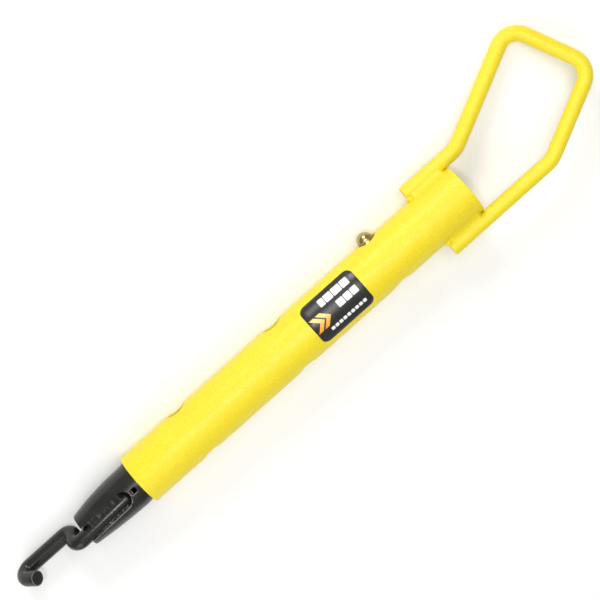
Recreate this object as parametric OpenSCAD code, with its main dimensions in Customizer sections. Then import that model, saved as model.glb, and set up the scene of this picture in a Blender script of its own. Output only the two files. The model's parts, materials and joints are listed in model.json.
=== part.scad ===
// Telescoping pull-hook tool: a hooked inner slider that latches in a handled outer tube.
// Tool axis along X, handle towards +X, hook towards -X. The tool lies on the plane z = 0,
// rolled until one corner of the handle touches down beside the tube.

/* [Outer tube] */
// Outside diameter of the outer tube
tube_od = 31.75; // [30:0.25:34]
// Wall thickness of the outer tube
tube_wall = 2.3; // [2:0.1:2.6]
// Length of the outer tube
tube_len = 247; // [240:1:260]
// Bevel on both rims of the outer tube
tube_bevel = 0.5; // [0.2:0.1:0.8]

/* [Latch holes] */
// Diameter of the cross-drilled latch holes
hole_d = 12.7; // [12.5:0.1:13]
// Distance from the tube's mouth to the first hole
first_hole = 41.8; // [35:0.1:45]
// Distance between neighbouring holes, one latch step
hole_pitch = 72; // [68:1:74]
// How far the hole axis is turned about the tube from the handle's plane
hole_tilt = 5; // [0:1:10]

/* [Handle] */
// Diameter of the handle's bent rod
rod_d = 9; // [8:0.5:10]
// Length of each leg that lies welded along the tube
weld_len = 28.3; // [24:0.1:32]
// Bend of the leg on the button's side, beyond the tube's end
near_bend = 10.6; // [8:0.1:14]
// Bend of the other leg, beyond the tube's end
far_bend = 47.1; // [42:0.1:52]
// Angle at which both legs turn to the button's side
dogleg = 25.7; // [20:0.1:30]
// Length of the turned stretch on the button's side
near_side = 75.2; // [70:0.1:80]
// Length of the turned stretch on the other side
far_side = 58.2; // [54:0.1:62]
// Bend radius of the two leg bends, at the rod's centre
leg_radius = 19; // [14:0.5:22]
// Bend radius of the two grip corners, at the rod's centre
grip_radius = 11.5; // [9:0.5:14]

/* [Slider] */
// Gap between slider and tube, all round
slide_gap = 0.3; // [0.2:0.05:0.4]
// Wall thickness of the slider
slider_wall = 2; // [1.6:0.1:2.2]
// Length of the slider inside the tube
slider_in = 232; // [225:1:236]
// Length of the formed nose outside the tube
nose_len = 41.4; // [38:0.1:44]
// Width of the nose at its end
nose_w = 20.5; // [20:0.1:22]
// Height of the nose at its end
nose_h = 21.5; // [20:0.1:23]
// How far the nose leans away from the button's side just outside the mouth
nose_step = 0.5; // [0:0.1:0.6]
// How far it leans further towards its end
nose_shift = 0.8; // [0:0.1:1.2]

/* [Hook] */
// Diameter of the hook's bent rod
hook_d = 9; // [8.5:0.1:9.1]
// Height of the shank's centre above the tool's axis
shank_z = 5; // [4:0.1:6]
// Length of the hook's straight run, between its bends' corners
run_len = 45.3; // [40:0.1:50]
// Bend radius of the hook's two crossing bends, at the rod's centre
hook_radius = 4.7; // [4.6:0.05:4.75]
// Bend radius of the hook's tip, at the rod's centre
tip_radius = 5.4; // [5:0.1:6]

/* [Snap button] */
// Diameter of the button's ball head
ball_d = 9.8; // [9:0.1:10.5]
// Height of the ball's centre above the tool's axis
ball_r = 16.1; // [15.5:0.1:16.5]
// Diameter of the button's body
button_d = 11.4; // [11:0.1:11.6]
// Lean of the button towards the hook
button_lean = 6; // [4:0.5:7]
// Width of the leaf spring's strip
leaf_w = 8; // [7:0.5:8.5]
// Thickness of the leaf spring's strip
leaf_t = 0.8; // [0.6:0.1:1]

/* [Label] */
// Length of the label along the tube
label_len = 37.6; // [34:0.1:40]
// Distance from the tube's mouth to the label
label_x = 129.7; // [125:0.1:132]
// Angle that the label covers round the tube
label_span = 98.8; // [90:0.1:104]
// Angle from the tube's top line to the label's middle, away from the button
label_turn = 5.2; // [0:0.1:10]
// Corner radius of the label
label_corner = 4.5; // [3:0.5:6]

/* [Hidden] */
$fn = 96;

tube_r = tube_od / 2;
bore_r = tube_r - tube_wall;
rod_r = rod_d / 2;
slider_r = bore_r - slide_gap;
slider_ir = slider_r - slider_wall;
hook_r = hook_d / 2;
button_x = first_hole + 2 * hole_pitch;
rod_sides = 24;                         // flats round a bent rod
bend_step = 9;                          // turn between two sections of a bend
end_bevel = 0.4;                        // bevel on a rod's cut ends
slice_t = 0.02;                         // thickness of a section that a skin is drawn over
leaf_r = 9.7;                           // height of the leaf's outer face below the button
leaf_bend_r = 5.2;                      // outer radius of the leaf's bend
leaf_gap = 0.1;                         // play between the leaf and the button riveted to it

// The handle's centre line, from the cut end of the far leg round to that of the near leg.
leg_y = tube_r + rod_r;
turned = [cos(dogleg), sin(dogleg), 0];
far_corner = [tube_len + far_bend, -leg_y, 0];
near_corner = [tube_len + near_bend, leg_y, 0];
grip_far = far_corner + far_side * turned;
grip_near = near_corner + near_side * turned;
handle_path = [[tube_len - weld_len, -leg_y, 0], far_corner, grip_far, grip_near,
               near_corner, [tube_len - weld_len, leg_y, 0]];
handle_radii = [0, leg_radius, grip_radius, grip_radius, leg_radius, 0];

// The hook's centre line: shank, crossing under the nose, run and upturned tip.
shank_end = [-9, -2.9, shank_z];
front_bend = [-53.4, -4.6, shank_z];
run_start = [-45.9, 4.2, shank_z - 11.2];
tip_bend = run_start - [run_len, 0, 0];
tip_end = tip_bend + [12.7, -7.6, 12.5];
hook_path = [shank_end, front_bend, run_start, tip_bend, tip_end];
hook_radii = [0, hook_radius, hook_radius, tip_radius, 0];
hook_level = [0, 0.8, 0.6];

// Rest pose: the roll that brings the outer grip corner down to the plane of the tube's lowest line.
far_arc = bend_centre(handle_path[1], grip_far, grip_near, grip_radius);
near_arc = bend_centre(grip_far, grip_near, near_corner, grip_radius);
tip_arc = bend_centre(run_start, tip_bend, tip_end, tip_radius);
loop_y = near_arc.y + grip_radius;
roll = asin((tube_r - rod_r) / loop_y);
x_max = far_arc.x + grip_radius + rod_r;
x_min = tip_arc.x - tip_radius - hook_r;
y_max = loop_y * cos(roll) + rod_r;
y_min = -leg_y * cos(roll) - rod_r;
row_shift = [-(x_min + x_max) / 2, -(y_min + y_max) / 2, tube_r];

function unit(v) = v / norm(v);
function turn_angle(a, b, c) = acos(unit(b - a) * unit(c - b));
function bend_centre(a, b, c, r) =
    b + unit(unit(c - b) - unit(b - a)) * r / cos(turn_angle(a, b, c) / 2);
function bend_reach(a, b, c, r) = r * tan(turn_angle(a, b, c) / 2);

// Points and headings along a path, with each inner corner rounded to its radius.
// A row is [point, heading, radius of the rod there].
function bend_rows(a, b, c, r, rod) =
    let (angle = turn_angle(a, b, c),
         steps = ceil(angle / bend_step),
         centre = bend_centre(a, b, c, r),
         heading = unit(b - a),
         outward = unit(b - heading * bend_reach(a, b, c, r) - centre))
    [for (i = [0 : steps])
        let (t = angle * i / steps)
        [centre + r * (outward * cos(t) + heading * sin(t)),
         heading * cos(t) - outward * sin(t), rod]];
// The two rows that bevel a cut end; way is 1 at the start of the path and -1 at its end.
function end_rows(tip, next, rod, way) =
    let (heading = way * unit(next - tip),
         rows = [[tip, heading, rod - end_bevel],
                 [tip + way * heading * end_bevel, heading, rod]])
    way > 0 ? rows : [rows[1], rows[0]];
function rod_rows(path, radii, rod) =
    let (last = len(path) - 1)
    [each end_rows(path[0], path[1], rod, 1),
     for (i = [1 : last - 1]) each bend_rows(path[i - 1], path[i], path[i + 1], radii[i], rod),
     each end_rows(path[last], path[last - 1], rod, -1)];

// A rod bent along path, with a bend radius at each inner point. Level is a direction
// that stays well off the rod's heading all the way.
module bent_rod(path, radii, rod, level) {
    rows = rod_rows(path, radii, rod);
    last = len(rows) - 1;
    points = [for (row = rows)
        let (side = unit(cross(row[1], level)), up = cross(side, row[1]))
        for (k = [0 : rod_sides - 1])
            let (turn = 360 * k / rod_sides)
            row[0] + row[2] * (side * cos(turn) + up * sin(turn))];
    function at(i, k) = i * rod_sides + k % rod_sides;
    walls = [for (i = [0 : last - 1], k = [0 : rod_sides - 1], half = [0, 1])
        half == 0 ? [at(i, k), at(i, k + 1), at(i + 1, k + 1)]
                  : [at(i, k), at(i + 1, k + 1), at(i + 1, k)]];
    caps = [[for (k = [rod_sides - 1 : -1 : 0]) at(0, k)],
            [for (k = [0 : rod_sides - 1]) at(last, k)]];
    polyhedron(points, [each walls, each caps]);
}

// From the tool's own frame to the pose in which it lies.
module lay_down() { translate(row_shift) rotate([-roll, 0, 0]) children(); }
// A profile drawn as [radius, distance], turned about the tool's axis.
module turned_along_x() { rotate([0, 90, 0]) rotate_extrude() children(); }
// A section drawn in the tool's YZ plane, drawn out along X.
module drawn_along_x(from, to) {
    translate([from, 0, 0]) rotate([90, 0, 90]) linear_extrude(to - from) children();
}
// The latch's frame: Z runs out through the hole that holds the button.
module at_button() { translate([button_x, 0, 0]) rotate([hole_tilt - 90, 0, 0]) children(); }

module outer_tube() {
    color("gold") lay_down() difference() {
        turned_along_x() polygon([
            [bore_r, tube_bevel], [bore_r + tube_bevel, 0],
            [tube_r - tube_bevel, 0], [tube_r, tube_bevel],
            [tube_r, tube_len - tube_bevel], [tube_r - tube_bevel, tube_len],
            [bore_r + tube_bevel, tube_len], [bore_r, tube_len - tube_bevel]]);
        for (i = [0 : 2])
            translate([first_hole + i * hole_pitch, 0, 0]) rotate([hole_tilt - 90, 0, 0])
                cylinder(d = hole_d, h = 2 * tube_od, center = true);
    }
}

module bail_handle() {
    color("gold") lay_down() bent_rod(handle_path, handle_radii, rod_r, [0, 0, 1]);
}

// Fillet welds above and below one leg, each with a tack at its lower end; side is 1 or -1.
module handle_weld(side) {
    toe = 31;                           // angle on the tube where the fillet ends
    heel = 110;                         // angle on the rod where the fillet ends
    root = 1;                           // how far the fillet's root lies inside tube and rod
    tack_r = 2.2;
    tack_at = [tube_r + 0.4, 3.2];
    from = tube_len - weld_len + 1;
    to = tube_len - 2.4;
    lay_down() mirror([0, side < 0 ? 1 : 0, 0]) difference() {
        for (flip = [0, 1]) mirror([0, 0, flip]) {
            drawn_along_x(from, to) polygon([
                [tube_r - root, 0], tube_r * [cos(toe), sin(toe)],
                [leg_y, 0] + rod_r * [cos(heel), sin(heel)], [leg_y - rod_r + root, 0]]);
            translate([from, tack_at.x, tack_at.y]) sphere(r = tack_r);
        }
        turned_along_x() translate([0, -tube_len]) square([tube_r, 3 * tube_len]);
        translate([0, leg_y, 0]) rotate([0, 90, 0]) cylinder(d = rod_d, h = 2 * tube_len);
    }
}
module handle_weld_left() { color("goldenrod") handle_weld(1); }
module handle_weld_right() { color("goldenrod") handle_weld(-1); }

module label() {
    label_t = 0.15;
    across = 2 * tube_r * sin(label_span / 2);
    inner = [label_len, across] - 2 * label_corner * [1, 1];
    color("black") lay_down() rotate([label_turn, 0, 0]) intersection() {
        turned_along_x() translate([tube_r, label_x]) square([label_t, label_len]);
        translate([label_x + label_len / 2, 0, label_corner]) linear_extrude(tube_od) union() {
            square([label_len, inner.y], center = true);
            square([inner.x, across], center = true);
            for (x = [-0.5, 0.5] * inner.x, y = [-0.5, 0.5] * inner.y)
                translate([x, y]) circle(r = label_corner);
        }
    }
}

// One cross-section of the nose at x: width w, height h, its centre moved by [dy, dz].
module nose_slice(x, w, h, dy, dz) {
    translate([x, dy, dz]) rotate([0, 90, 0]) linear_extrude(slice_t) scale([h / w, 1])
        circle(d = w, $fn = 72);
}
// The nose's skin, drawn in by inset all round. It reaches back into the tube's wall, and
// past the nose's end by front.
module nose_form(inset, front) {
    full = 2 * slider_r;
    overlap = 0.6;                      // how far it reaches back into the tube
    bulge = 2.3;                        // the higher, the later the nose tapers
    sink = 0.1;                         // share of the lost height that its top keeps
    settle = 0.1;                       // part of the nose over which it steps aside
    function drawn_in(to, part) = full - (full - to) * pow(part, bulge);
    function lean(part) = -nose_step * min(1, part / settle) - nose_shift * pow(part, 3);
    hull() for (cut = [[overlap, 0], [0, 0], [0, settle], [0, 0.4], [0, 0.65], [0, 0.85],
                       [-front, 1]]) {
        part = cut[1];
        w = drawn_in(nose_w, part);
        h = drawn_in(nose_h, part);
        nose_slice(cut[0] - part * nose_len, w - 2 * inset, h - 2 * inset,
                   lean(part), -(full - h) * sink);
    }
}
// The trough pressed into the nose for the hook's shank, grown by extra all round.
module trough(extra) {
    r = hook_r + extra;
    flare = 0.9;
    along = front_bend - shank_end;
    translate(shank_end) rotate([0, 0, atan2(along.y, along.x)]) rotate([90, 0, 90])
        translate([0, 0, -extra]) linear_extrude(nose_len) union() {
            circle(r = r);
            polygon([[-r, 0], [-r - flare, tube_r], [r + flare, tube_r], [r, 0]]);
        }
}

module slider_tube() {
    relief = [4.2, 3.3, slider_r];
    relief_at = [-5, -2.6];             // middle of the relief hole in the nose's top
    embed = 0.15;                       // keeps the nose's skin inside the tube's wall
    color("dimgray") lay_down() difference() {
        union() {
            turned_along_x() translate([slider_ir, 0]) square([slider_wall, slider_in]);
            difference() {
                nose_form(embed, 0);
                difference() {
                    nose_form(slider_wall - embed, 1);
                    trough(slider_wall);
                }
            }
        }
        trough(0.1);
        translate([relief_at.x - relief.x / 2, relief_at.y - relief.y / 2, slider_ir - slider_wall])
            cube(relief);
        at_button() cylinder(d = hole_d, h = tube_od);
    }
}

module hook_rod() {
    color("dimgray") lay_down() bent_rod(hook_path, hook_radii, hook_r, hook_level);
}

// Two beads that hold the shank in the trough.
module hook_weld() {
    bead_h = 3.4;
    bead_len = 26;
    bead_w = 2.3;
    clear = 0.05;                       // keeps the beads off the trough's walls
    along = front_bend - shank_end;
    color("gray") lay_down()
        translate(shank_end) rotate([0, 0, atan2(along.y, along.x)]) rotate([90, 0, 90])
            translate([0, 0, 3]) linear_extrude(bead_len) difference() {
                for (side = [0, 1]) mirror([side, 0]) translate([hook_r + clear - bead_w, 0])
                    square([bead_w, bead_h]);
                circle(r = hook_r);
            }
}

// Turns a piece drawn on the leaf's face, with its foot on that face, into the latch's frame.
module on_leaf() { translate([0, 0, leaf_r]) rotate([0, -button_lean, 0]) children(); }

module snap_button() {
    rivet_d = 4;
    rivet_head = 6;
    color("peru") lay_down() at_button() on_leaf() union() {
        translate([0, 0, ball_r - leaf_r]) sphere(d = ball_d);
        translate([0, 0, leaf_gap]) cylinder(d = button_d, h = tube_r - leaf_r - leaf_gap);
        translate([0, 0, -leaf_t - leaf_gap - 1]) cylinder(d = rivet_d, h = leaf_t + 2);
        translate([0, 0, -leaf_t - leaf_gap - 1]) cylinder(d = rivet_head, h = 1);
    }
}

module snap_spring() {
    tip_len = 7.5;
    rivet_hole = 4.6;
    fuse = 0.2;                         // how far a leg reaches into the bend
    rise = tan(button_lean);
    // distance back from the button to the bend's centre
    set_back = leaf_bend_r * sin(button_lean);
    back = (leaf_r - leaf_bend_r * cos(button_lean)) / rise - set_back;
    leg_len = (back + set_back) / cos(button_lean) + tip_len;
    module leg() {
        translate([-fuse, -leaf_w / 2, leaf_bend_r - leaf_t])
            cube([leg_len + fuse, leaf_w, leaf_t]);
    }
    color("silver") lay_down() at_button() difference() {
        translate([-back, 0, 0]) union() {
            for (side = [0, 1]) mirror([0, 0, side]) rotate([0, -button_lean, 0]) leg();
            rotate([90, 0, 0]) rotate([0, 0, 90 + button_lean])
                rotate_extrude(angle = 180 - 2 * button_lean)
                    translate([leaf_bend_r - leaf_t, -leaf_w / 2]) square([leaf_t, leaf_w]);
        }
        on_leaf() cylinder(d = rivet_hole, h = 3 * leaf_t, center = true);
    }
}

outer_tube();
bail_handle();
handle_weld_left();
handle_weld_right();
label();
slider_tube();
hook_rod();
hook_weld();
snap_button();
snap_spring();
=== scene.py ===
"""Looks of a telescoping hook puller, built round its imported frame.

The puller is a yellow tube with a bent-rod handle, a black slider with a formed nose and
a bent hook, and a brass snap button that latches the slider. Every piece is drawn in the
tool's own frame, X from the tube's mouth towards the handle, and then laid down.
"""

import json
import math

import bmesh
import bpy
from mathutils import Matrix, Vector, noise


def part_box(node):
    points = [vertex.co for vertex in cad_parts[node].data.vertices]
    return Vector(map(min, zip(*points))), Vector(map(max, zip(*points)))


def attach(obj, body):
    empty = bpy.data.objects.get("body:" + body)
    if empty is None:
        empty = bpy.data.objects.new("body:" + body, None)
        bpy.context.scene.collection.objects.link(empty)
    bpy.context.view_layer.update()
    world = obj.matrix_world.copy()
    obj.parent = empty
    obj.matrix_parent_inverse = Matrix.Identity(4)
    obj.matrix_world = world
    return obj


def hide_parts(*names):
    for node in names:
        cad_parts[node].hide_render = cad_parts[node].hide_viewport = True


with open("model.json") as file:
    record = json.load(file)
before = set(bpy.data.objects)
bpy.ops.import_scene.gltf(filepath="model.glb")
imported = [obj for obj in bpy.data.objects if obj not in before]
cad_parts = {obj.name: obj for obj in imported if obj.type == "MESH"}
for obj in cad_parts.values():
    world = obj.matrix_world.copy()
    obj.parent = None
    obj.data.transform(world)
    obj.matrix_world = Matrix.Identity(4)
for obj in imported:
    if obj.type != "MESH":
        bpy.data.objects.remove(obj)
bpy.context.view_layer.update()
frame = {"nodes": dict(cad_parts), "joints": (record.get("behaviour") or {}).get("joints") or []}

bl_info = {
    "name": "Telescoping Hook Puller",
    "version": (1, 0, 0),
    "blender": (4, 5, 0),
    "location": "3D View > Sidebar > Puller",
    "description": "Builds a telescoping pull hook piece by piece on its packed frame",
    "category": "Object",
}

MM = 0.001
TUBE_LOW, TUBE_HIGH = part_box("outer_tube")
SLIDER_LOW, SLIDER_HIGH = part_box("slider_tube")
MOUTH = Vector((TUBE_LOW.x, (TUBE_LOW.y + TUBE_HIGH.y) / 2, (TUBE_LOW.z + TUBE_HIGH.z) / 2))
JOINTS = {joint["name"]: joint for joint in frame["joints"]}
PRESS_AXIS = Vector(JOINTS["button_press"]["axis"])
Z_AXIS = Vector((0, 0, 1))


# ---- settings


def length(name, description, default):
    return bpy.props.FloatProperty(
        name=name, description=description, default=default, min=0, unit="LENGTH", precision=4)


def angle(name, description, default):
    return bpy.props.FloatProperty(
        name=name, description=description, default=math.radians(default), subtype="ANGLE")


def colour(name, description, default):
    return bpy.props.FloatVectorProperty(
        name=name, description=description, default=default, size=3, min=0, max=1, subtype="COLOR")


def share(name, description, default):
    return bpy.props.FloatProperty(
        name=name, description=description, default=default, min=0, max=1, subtype="FACTOR")


class PullerSizes(bpy.types.PropertyGroup):
    """Sizes of the puller's pieces, in metres"""

    tube_r: length("Tube radius", "Outside radius of the outer tube", (TUBE_HIGH.z - TUBE_LOW.z) / 2)
    tube_len: length("Tube length", "Length of the outer tube", TUBE_HIGH.x - TUBE_LOW.x)
    tube_wall: length("Tube wall", "Wall thickness of the outer tube", 2.3 * MM)
    rim: length("Rim rounding", "Paint-softened rounding of the tube's rims and holes", 0.6 * MM)
    hole_r: length("Hole radius", "Radius of the cross-drilled latch holes", 6.35 * MM)
    first_hole: length("First hole", "Distance from the mouth to the first hole", 41.8 * MM)
    hole_pitch: length("Hole pitch", "Distance between neighbouring holes", 72 * MM)
    hole_tilt: angle("Hole tilt", "Turn of the hole axis from the handle's plane", 5)
    rod_r: length("Handle rod radius", "Radius of the handle's bent rod", 4.5 * MM)
    weld_len: length("Weld length", "Length of each leg that lies along the tube", 28.3 * MM)
    near_bend: length("Near bend", "Bend of the leg on the button's side, past the tube", 10.6 * MM)
    far_bend: length("Far bend", "Bend of the other leg, past the tube", 47.1 * MM)
    near_side: length("Near side", "Length of the turned stretch on the button's side", 75.2 * MM)
    far_side: length("Far side", "Length of the turned stretch on the other side", 58.2 * MM)
    dogleg: angle("Dogleg", "Angle at which both legs turn to the button's side", 25.7)
    leg_radius: length("Leg bend radius", "Bend radius of the two leg bends", 19 * MM)
    grip_radius: length("Grip bend radius", "Bend radius of the two grip corners", 11.5 * MM)
    slider_r: length("Slider radius", "Outside radius of the inner slider", 13.275 * MM)
    slider_wall: length("Slider wall", "Wall thickness of the inner slider", 2 * MM)
    slider_in: length("Slider inside", "Length of the slider inside the tube", SLIDER_HIGH.x - TUBE_LOW.x)
    nose_len: length("Nose length", "Length of the formed nose outside the tube", TUBE_LOW.x - SLIDER_LOW.x)
    nose_w: length("Nose width", "Width of the nose at its end", 20.5 * MM)
    nose_h: length("Nose height", "Height of the nose at its end", 21.5 * MM)
    nose_step: length("Nose step", "Lean of the nose away from the button, just outside the mouth", 0.5 * MM)
    nose_shift: length("Nose shift", "How far the nose leans further towards its end", 0.8 * MM)
    hook_r: length("Hook rod radius", "Radius of the hook's bent rod", 4.5 * MM)
    shank_z: length("Shank height", "Height of the shank's centre above the tool's axis", 5 * MM)
    run_len: length("Run length", "Length of the hook's straight run", 45.3 * MM)
    hook_radius: length("Hook bend radius", "Bend radius of the two crossing bends", 4.7 * MM)
    tip_radius: length("Tip bend radius", "Bend radius of the hook's tip", 5.4 * MM)
    ball_r: length("Ball radius", "Radius of the button's ball head", 4.9 * MM)
    ball_height: length("Ball height", "Height of the ball's centre above the tool's axis", 16.1 * MM)
    collar_r: length("Collar radius", "Radius of the button's body", 5.7 * MM)
    leaf_r: length("Leaf height", "Height of the spring's outer face above the axis", 9.7 * MM)
    button_lean: angle("Button lean", "Lean of the button towards the hook", 6)
    label_len: length("Label length", "Length of the label along the tube", 37.6 * MM)
    label_x: length("Label place", "Distance from the mouth to the label", 129.7 * MM)
    label_span: angle("Label span", "Angle that the label covers round the tube", 98.8)
    label_turn: angle("Label turn", "Turn of the label's middle away from the button", 5.2)
    label_corner: length("Label corner", "Corner radius of the label", 4.5 * MM)


class PullerFinish(bpy.types.PropertyGroup):
    """Colours and finishes of the puller's materials"""

    yellow: colour("Powder coat", "Yellow powder coat", (0.87, 0.73, 0.018))
    # Darker yellow: the coat's cloudy tone and grit, and also the painted shade in its hollows.
    yellow_deep_and_shade: colour("Powder coat in hollows", "Yellow where the coat runs thick", (0.74, 0.53, 0.015))
    black: colour("Black paint", "Black paint of slider and hook", (0.007, 0.008, 0.006))
    black_worn: colour("Worn black", "Black paint where it is rubbed thin", (0.05, 0.055, 0.044))
    # Bare steel grey: chipped cut ends, and the pale edges of the black paint, which are partly painted
    # highlight.
    bare_steel: colour("Bare steel", "Steel where the paint is chipped", (0.42, 0.42, 0.38))
    brass: colour("Brass", "Polished brass", (0.56, 0.44, 0.20))
    tarnish: colour("Tarnish", "Tarnished brass", (0.24, 0.17, 0.06))
    spring: colour("Spring steel", "Bare spring steel", (0.52, 0.53, 0.55))
    vinyl: colour("Label ground", "Black ground of the label", (0.016, 0.016, 0.015))
    print_white: colour("Label white", "White print of the label", (0.88, 0.88, 0.86))
    print_yellow: colour("Label yellow", "Pale end of the label's two chevrons", (0.95, 0.72, 0.22))
    print_amber: colour("Label amber", "Deep end of the label's two chevrons", (0.92, 0.32, 0.01))
    floor: colour("Floor", "Pale floor", (0.93, 0.93, 0.925))
    coat_roughness: share("Coat roughness", "Roughness of the powder coat", 0.42)
    paint_roughness: share("Paint roughness", "Roughness of the black paint", 0.20)


def chosen(context):
    return context.scene.puller_sizes, context.scene.puller_finish


# ---- frames


def laid_down(sizes):
    """From the tool's frame to the row frame: the press axis gives the roll."""
    roll = sizes.hole_tilt + math.atan2(PRESS_AXIS.z, -PRESS_AXIS.y)
    return Matrix.Translation(MOUTH) @ Matrix.Rotation(-roll, 4, "X")


def hole_frame(sizes, x):
    """Z runs out through the latch holes, X along the tool, with its origin on the axis."""
    turn = Matrix.Rotation(sizes.hole_tilt - math.pi / 2, 4, "X")
    return laid_down(sizes) @ Matrix.Translation((x, 0, 0)) @ turn


def hole_places(sizes):
    return [sizes.first_hole + i * sizes.hole_pitch for i in range(3)]


# ---- modelling helpers


def clear_selection():
    active = bpy.context.view_layer.objects.active
    if active and active.mode == "EDIT":
        bpy.ops.object.mode_set(mode="OBJECT")
    bpy.ops.object.select_all(action="DESELECT")


def only(obj):
    clear_selection()
    obj.select_set(True)
    bpy.context.view_layer.objects.active = obj


def edit(obj):
    """Opens the piece for editing with all of it selected, by vertices."""
    only(obj)
    bpy.ops.object.mode_set(mode="EDIT")
    bpy.ops.mesh.select_mode(type="VERT")
    bpy.ops.mesh.select_all(action="SELECT")


def done_editing():
    bpy.ops.object.mode_set(mode="OBJECT")


def pick(kind, test):
    """Selects the verts, edges or faces of the mesh in edit mode that pass the test."""
    modes = {"verts": "VERT", "edges": "EDGE", "faces": "FACE"}
    bpy.ops.mesh.select_mode(type=modes[kind])
    bpy.ops.mesh.select_all(action="DESELECT")
    mesh = bpy.context.object.data
    shape = bmesh.from_edit_mesh(mesh)
    for part in getattr(shape, kind):
        if test(part):
            part.select_set(True)
    shape.select_flush_mode()
    bmesh.update_edit_mesh(mesh)


def place_selected(place):
    """Moves each selected vertex to place(its position)."""
    mesh = bpy.context.object.data
    for vertex in bmesh.from_edit_mesh(mesh).verts:
        if vertex.select:
            vertex.co = place(vertex.co.copy())
    bmesh.update_edit_mesh(mesh)


def push(move):
    bpy.ops.mesh.extrude_region_move(TRANSFORM_OT_translate={"value": move})


def middle(part):
    """The middle of an edge or a face."""
    return sum((vertex.co for vertex in part.verts), Vector()) / len(part.verts)


def add_shape(operator, **settings):
    """Adds one of Blender's own shapes, on its own, and returns it."""
    clear_selection()
    operator(**settings)
    return bpy.context.object


def keep_in_mesh():
    """Moves the active piece's place, turn and scale into its mesh."""
    bpy.ops.object.transform_apply(location=True, rotation=True, scale=True)


def apply_place(obj, matrix):
    """Puts the piece where it belongs, and keeps its place in its mesh."""
    only(obj)
    obj.matrix_world = matrix @ obj.matrix_world
    keep_in_mesh()


def add_modifier(obj, kind, **settings):
    only(obj)
    modifier = obj.modifiers.new(kind.title(), kind)
    for name, value in settings.items():
        setattr(modifier, name, value)
    bpy.ops.object.modifier_apply(modifier=modifier.name)


def round_edges(obj, width, segments, degrees):
    """Rounds every edge that turns by more than degrees."""
    add_modifier(obj, "BEVEL", width=width, segments=segments, limit_method="ANGLE",
                 angle_limit=math.radians(degrees))


def smooth(obj, degrees):
    only(obj)
    bpy.ops.object.shade_smooth_by_angle(angle=math.radians(degrees))


def join(pieces, name):
    clear_selection()
    for piece in pieces:
        piece.select_set(True)
    bpy.context.view_layer.objects.active = pieces[0]
    bpy.ops.object.join()
    pieces[0].name = name
    pieces[0].data.name = name
    return pieces[0]


def loft(name, rings, close_ends=True):
    """A closed tube of quads through rings of points, each ring with as many points."""
    shape = bmesh.new()
    rows = [[shape.verts.new(point) for point in ring] for ring in rings]
    for row, following in zip(rows, rows[1:]):
        for k in range(len(row)):
            nxt = (k + 1) % len(row)
            shape.faces.new((row[k], row[nxt], following[nxt], following[k]))
    if close_ends:
        shape.faces.new(reversed(rows[0]))
        shape.faces.new(rows[-1])
    mesh = bpy.data.meshes.new(name)
    shape.to_mesh(mesh)
    shape.free()
    obj = bpy.data.objects.new(name, mesh)
    bpy.context.scene.collection.objects.link(obj)
    return obj


def tidy_mesh(obj, merge=1e-7):
    edit(obj)
    bpy.ops.mesh.remove_doubles(threshold=merge)
    bpy.ops.mesh.dissolve_degenerate(threshold=merge)
    bpy.ops.mesh.select_all(action="SELECT")
    bpy.ops.mesh.normals_make_consistent(inside=False)
    done_editing()


def paint(obj, *materials):
    obj.data.materials.clear()
    for material in materials:
        obj.data.materials.append(material)


def hand_over(obj, body, slot, *nodes):
    """Says which body the piece rides on and which nodes it stands for; slot, its finish, is not used."""
    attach(obj, body)
    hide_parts(*nodes)


def ripple(point, scale, seed):
    """Smooth noise from -1 to 1 that repeats every run."""
    shift = Vector((seed, seed * 0.37, 0))
    return noise.noise(Vector(point) / scale + shift)


# ---- shader node groups


NODE_GAP = 180  # space between nodes in the editor


class Nodes:
    """Adds and links nodes in one tree, left to right."""

    def __init__(self, tree):
        self.tree = tree
        self.count = 0

    def add(self, kind, settings=None, **sockets):
        node = self.tree.nodes.new(kind)
        node.location = (self.count * NODE_GAP, 0)
        self.count += 1
        for name, value in (settings or {}).items():
            setattr(node, name, value)
        for name, value in sockets.items():
            key = int(name[1:]) if name[0] == "i" and name[1:].isdigit() else name.replace("_", " ")
            self.feed(node.inputs[key], value)
        return node

    def feed(self, socket, value):
        if isinstance(value, bpy.types.NodeSocket):
            self.tree.links.new(value, socket)
        elif socket.type == "RGBA" and len(value) == 3:
            socket.default_value = (*value, 1)
        else:
            socket.default_value = value

    def math(self, operation, first, second=0.0, clamp=False):
        settings = {"operation": operation, "use_clamp": clamp}
        return self.add("ShaderNodeMath", settings, i0=first, i1=second).outputs[0]

    def times(self, value, factor, clamp=False):
        return self.math("MULTIPLY", value, factor, clamp)

    def mix(self, factor, first, second):
        """A colour that goes from first to second."""
        node = self.add("ShaderNodeMix", {"data_type": "RGBA"})
        self.feed(node.inputs[0], factor)
        self.feed(node.inputs[6], first)
        self.feed(node.inputs[7], second)
        return node.outputs[2]

    def noise(self, vector, scale, detail=2.0, roughness=0.5):
        node = self.add("ShaderNodeTexNoise", Vector=vector, Scale=scale, Detail=detail, Roughness=roughness)
        return node.outputs[0]

    def sized_noise(self, vector, size, detail=2.0, roughness=0.5):
        """Noise with grains of about that size."""
        return self.noise(vector, self.math("DIVIDE", 1.0, size), detail, roughness)

    def between(self, value, low, high, to_low=0.0, to_high=1.0):
        """Value mapped from low..high to to_low..to_high, held at the ends."""
        ends = {"i1": low, "i2": high, "i3": to_low, "i4": to_high}
        return self.add("ShaderNodeMapRange", {"clamp": True}, i0=value, **ends).outputs[0]


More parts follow.
